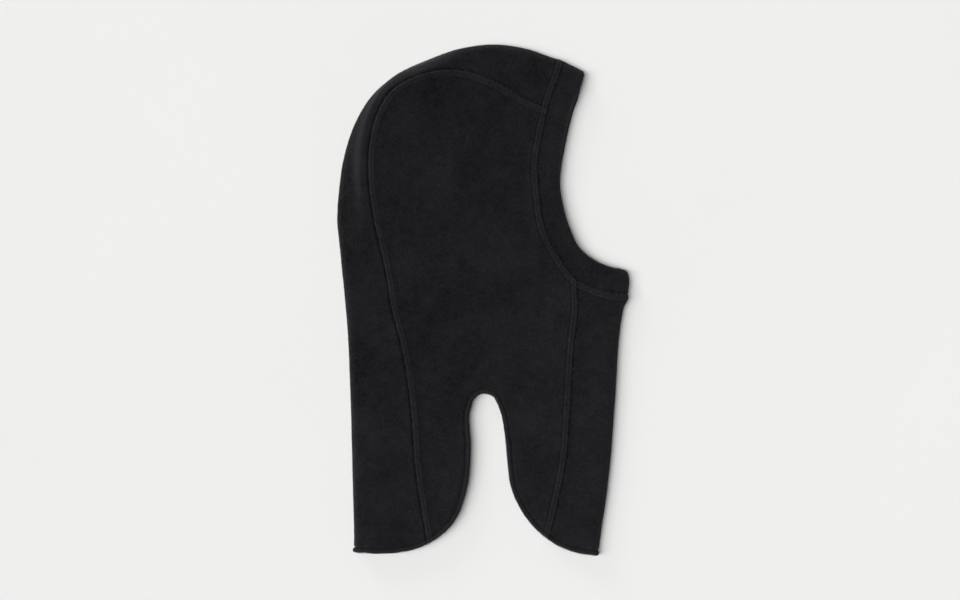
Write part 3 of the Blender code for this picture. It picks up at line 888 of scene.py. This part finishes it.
def loose_fibres(name, cloth, finish, seed):
    """Fine tapering fibres that stand out of the pile, thick along folds, thin on the flat."""
    mesh = cloth.data
    count = len(mesh.polygons)
    area, normal, middle = np.empty(count), np.empty(count * 3), np.empty(count * 3)
    mesh.polygons.foreach_get("area", area)
    mesh.polygons.foreach_get("normal", normal)
    mesh.polygons.foreach_get("center", middle)
    normal, middle = normal.reshape(-1, 3), middle.reshape(-1, 3) / MM
    density = FIBRES_FLAT + (FIBRES_EDGE - FIBRES_FLAT) * fall(np.abs(normal[:, 2]), 0.5, 0.85)
    density[OUTER_FACES[cloth.name] :] = 0
    rng = np.random.default_rng(seed)
    expected = density * area / MM**2
    number = np.floor(expected + rng.random(count)).astype(int)
    face = np.repeat(np.arange(count), number)
    total = len(face)
    side = np.sqrt(area[face]) / MM
    jitter = (rng.random((total, 3)) - 0.5) * side[:, None]
    out = normal[face]
    jitter -= out * (jitter * out).sum(1)[:, None]
    root = middle[face] + jitter - 0.15 * out
    lean = rng.normal(size=(total, 3))
    lean -= out * (lean * out).sum(1)[:, None]
    way = unit(out * rng.uniform(0.25, 1.0, (total, 1)) + 0.75 * unit(lean))
    tip = root + way * rng.uniform(*FIBRE_LENGTH, (total, 1))
    across = unit(np.cross(way, rng.normal(size=(total, 3))))
    other = np.cross(way, across)
    corners = [root + FIBRE * (across * math.cos(a) + other * math.sin(a)) for a in (0, 2.1, 4.2)]
    points = off_table(np.stack(corners + [tip], axis=1).reshape(-1, 3))
    base = np.arange(total)[:, None] * 4
    faces = np.concatenate([base + f for f in ([0, 2, 1], [0, 1, 3], [1, 2, 3], [2, 0, 3])])
    return mesh_object(name, points, faces.tolist(), finish)


# ---- the label


def care_label(name, finish):
    """A blank satin label, sewn in along the front seam, its free end curling a little."""
    count = 24
    along = np.linspace(LABEL_ALONG, LABEL_ALONG + LABEL, count)[:, None]
    offset = np.linspace(LABEL_INSIDE, LABEL_INSIDE + LABEL, count)[None, :]
    spot = front_seam.beside(along + 0 * offset, -offset)
    free = (offset - LABEL_INSIDE) / LABEL
    curl = 0.5 * free**2 * (1 + 0.5 * np.sin(along / 4.0)) + 0.1 * np.sin(offset * 1.1 + along * 0.2)
    outside = place(spot, CLOTH + GAP + 0.1 + curl, False, LIFT)
    inside = place(spot, CLOTH + GAP + 0.4 + curl, False, LIFT)
    return cloth_object(name, outside, inside, grid_faces(count, count), finish)


# ---- materials


class Finish:
    """A Principled material and the nodes that drive it, placed by object coordinates."""

    def __init__(self, name, **uniform):
        self.material = bpy.data.materials.new(name)
        self.material.use_nodes = True
        self.nodes = self.material.node_tree.nodes
        self.shader = self.nodes["Principled BSDF"]
        for socket, value in uniform.items():
            self.shader.inputs[socket.replace("_", " ")].default_value = value
        self.where = self.nodes.new("ShaderNodeTexCoord").outputs["Object"]

    def link(self, a, b):
        self.material.node_tree.links.new(a, b)

    def noise(self, size, detail=2.0, roughness=0.5, stretch=None):
        """Noise between 0 and 1 with features about that many millimetres across."""
        node = self.nodes.new("ShaderNodeTexNoise")
        node.inputs["Scale"].default_value = 1 / (size * MM)
        node.inputs["Detail"].default_value = detail
        node.inputs["Roughness"].default_value = roughness
        self.link(self.where if stretch is None else self.stretched(stretch), node.inputs["Vector"])
        return node.outputs["Fac"]

    def tufts(self, size):
        """Soft rounded cells, as the pile clumps."""
        node = self.nodes.new("ShaderNodeTexVoronoi")
        node.feature = "SMOOTH_F1"
        node.inputs["Scale"].default_value = 1 / (size * MM)
        node.inputs["Smoothness"].default_value = 0.6
        self.link(self.where, node.inputs["Vector"])
        return node.outputs["Distance"]

    def stretched(self, scale):
        """The object's coordinates, scaled differently along each axis."""
        node = self.nodes.new("ShaderNodeMapping")
        node.inputs["Scale"].default_value = scale
        self.link(self.where, node.inputs["Vector"])
        return node.outputs["Vector"]

    def sums(self, *parts):
        """Adds (output, weight) pairs."""
        total = None
        for output, weight in parts:
            node = self.nodes.new("ShaderNodeMath")
            node.operation = "MULTIPLY_ADD"
            self.link(output, node.inputs[0])
            node.inputs[1].default_value = weight
            node.inputs[2].default_value = 0.0
            if total is not None:
                self.link(total, node.inputs[2])
            total = node.outputs[0]
        return total

    def colour(self, amount, low, high, dark, light, clamp=True):
        """Runs the base colour from dark to light as amount goes from low to high."""
        node = self.nodes.new("ShaderNodeMapRange")
        node.clamp = clamp
        node.data_type = "FLOAT_VECTOR"
        for slot, value in zip((7, 8, 9, 10), ((low,) * 3, (high,) * 3, dark, light)):
            node.inputs[slot].default_value = value
        self.link(amount, node.inputs[6])
        self.link(node.outputs[1], self.shader.inputs["Base Color"])

    def relief(self, amount, distance):
        """Bumps the surface by amount, a whole unit of it being that many millimetres."""
        node = self.nodes.new("ShaderNodeBump")
        node.inputs["Distance"].default_value = distance * MM
        self.link(amount, node.inputs["Height"])
        self.link(node.outputs["Normal"], self.shader.inputs["Normal"])


def fleece():
    """Black microfleece: a matt, softly mottled pile. The mesh's shade says where painted highlights and
    shade lie.
    """
    finish = Finish(
        "black_fleece", Roughness=1.0, Specular_IOR_Level=0.0, Sheen_Weight=0.09, Sheen_Roughness=0.5
    )
    shade = finish.nodes.new("ShaderNodeAttribute")
    shade.attribute_name = "shade"
    # the shade attribute adds painted shade and painted highlights to the mottled tone
    tone = finish.sums(
        (finish.noise(42, 1), 0.6),
        (finish.noise(9, 2), 0.5),
        (finish.noise(2.6, 2), 0.7),
        (finish.noise(0.9, 2), 1.2),
        (shade.outputs["Fac"], 0.8),
    )
    finish.colour(tone, 1.2, 1.8, (0.0066, 0.0066, 0.0076), (0.0174, 0.0174, 0.0200), clamp=False)
    pile = finish.sums((finish.noise(0.7, 3, 0.6), 0.8), (finish.tufts(1.3), -0.7), (finish.noise(2.6), 0.8))
    finish.relief(pile, 1.0)
    return finish.material


def thread():
    """Black sewing thread, nearly matt, with a fine twist."""
    finish = Finish("black_thread", Roughness=0.7, Specular_IOR_Level=0.2)
    finish.colour(finish.noise(1.5), 0.3, 0.7, (0.0075, 0.0075, 0.0086), (0.015, 0.015, 0.0172))
    finish.relief(finish.noise(0.16, 1, 0.5, (1, 3, 1)), 0.08)
    return finish.material


def satin():
    """White woven satin for the label."""
    finish = Finish("satin", Roughness=0.42, Anisotropic=0.4)
    finish.colour(finish.noise(3.0), 0.3, 0.7, (0.50, 0.50, 0.48), (0.60, 0.60, 0.58))
    finish.relief(finish.noise(0.12, 1, 0.5, (1, 6, 1)), 0.05)
    return finish.material


def table_top():
    """Plain pale paper, a little uneven in tone."""
    finish = Finish("pale_floor", Roughness=0.75, Specular_IOR_Level=0.2)
    finish.colour(finish.noise(300), 0.2, 0.8, (0.835, 0.832, 0.825), (0.850, 0.848, 0.842))
    return finish.material


# ---- camera, light and floor


def sun(name, azimuth, elevation, width, strength):
    """A far soft light, as a softbox or window gives. Angles are in degrees."""
    light = bpy.data.lights.new(name, "SUN")
    light.energy = strength
    light.angle = math.radians(width)
    lamp = bpy.data.objects.new(name, light)
    azimuth, elevation = math.radians(azimuth), math.radians(elevation)
    flat = math.cos(elevation)
    towards = Vector((flat * math.cos(azimuth), flat * math.sin(azimuth), math.sin(elevation)))
    lamp.rotation_euler = towards.to_track_quat("Z", "Y").to_euler()
    bpy.context.scene.collection.objects.link(lamp)


def camera_above():
    camera = bpy.data.objects.new("camera", bpy.data.cameras.new("camera"))
    camera.data.lens = LENS
    camera.data.sensor_width = 36
    camera.location = CAMERA_AT
    camera.data.clip_start, camera.data.clip_end = 0.05, 200
    bpy.context.scene.collection.objects.link(camera)
    bpy.context.scene.camera = camera


def dome():
    """A white sky, brightest at the horizon."""
    world = bpy.data.worlds.new("dome")
    world.use_nodes = True
    nodes, links = world.node_tree.nodes, world.node_tree.links
    height = nodes.new("ShaderNodeSeparateXYZ")
    links.new(nodes.new("ShaderNodeTexCoord").outputs["Generated"], height.inputs[0])
    dimmer = nodes.new("ShaderNodeMapRange")
    dimmer.inputs["From Max"].default_value = WELL_ABOVE
    dimmer.inputs["To Min"].default_value, dimmer.inputs["To Max"].default_value = DOME
    links.new(height.outputs["Z"], dimmer.inputs["Value"])
    links.new(dimmer.outputs["Result"], nodes["Background"].inputs["Strength"])
    nodes["Background"].inputs["Color"].default_value = (1, 1, 1, 1)
    bpy.context.scene.world = world


def floor():
    mesh = bpy.data.meshes.new("floor")
    corners = [(x * FLOOR, y * FLOOR, 0) for x, y in ((-1, -1), (1, -1), (1, 1), (-1, 1))]
    mesh.from_pydata(corners, [], [(0, 1, 2, 3)])
    mesh.materials.append(table_top())
    sheet = bpy.data.objects.new("floor", mesh)
    bpy.context.scene.collection.objects.link(sheet)


def studio():
    camera_above()
    for lamp in LAMPS:
        sun(*lamp)
    dome()
    bpy.context.scene.view_settings.view_transform = "Standard"
    floor()


# ---- everything together


def put(piece):
    """The piece stands for the CAD node it is named after, with _look added."""
    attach(piece, ROOT)
    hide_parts(piece.name.removesuffix("_look"))


def build():
    """The studio, the cloth with its loose fibres, then the threads, seam allowances and label."""
    studio()
    black_fleece, black_thread, white_satin = fleece(), thread(), satin()
    cloth = (
        folded_panel("centre_panel_look", centre, CENTRE_SEAMS, black_fleece),
        folded_panel("front_panel_look", front, FRONT_SEAMS, black_fleece),
        side_panel("right_side_panel_look", True, black_fleece),
        side_panel("left_side_panel_look", False, black_fleece),
        face_band("face_band_look", black_fleece),
    )
    for seed, piece in enumerate(cloth):
        put(piece)
        fibres = loose_fibres(piece.name.replace("_look", "_loose_fibres"), piece, black_fleece, seed)
        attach(fibres, ROOT)
    for side, upper in (("right", True), ("left", False)):
        for part, seam, towards in (("crown", crown_seam, 1), ("front", front_seam, -1)):
            for order, row in zip(("near", "far"), ROWS):
                name = f"{part}_topstitch_{order}_{side}_look"
                put(seam_row(name, seam, towards, row, upper, black_thread))
            distance = np.arange(ALLOWANCE_START, seam.length - SEAM_END, LOOP / 5)
            name = f"{part}_seam_overlock_{side}_look"
            put(allowance(name, seam, towards, distance, upper, False, black_thread))
    for order, row in zip(("near", "far"), ROWS):
        put(band_row(f"face_band_topstitch_{order}_look", row, black_thread))
    distance, upper = ring(band_seam, LOOP / 5)
    name = "face_band_seam_overlock_look"
    put(allowance(name, band_seam, -1, distance, upper, True, black_thread))
    put(hem_overlock("hem_overlock_thread_look", black_thread))
    label = care_label("care_label_look", white_satin)
    put(label)


build()
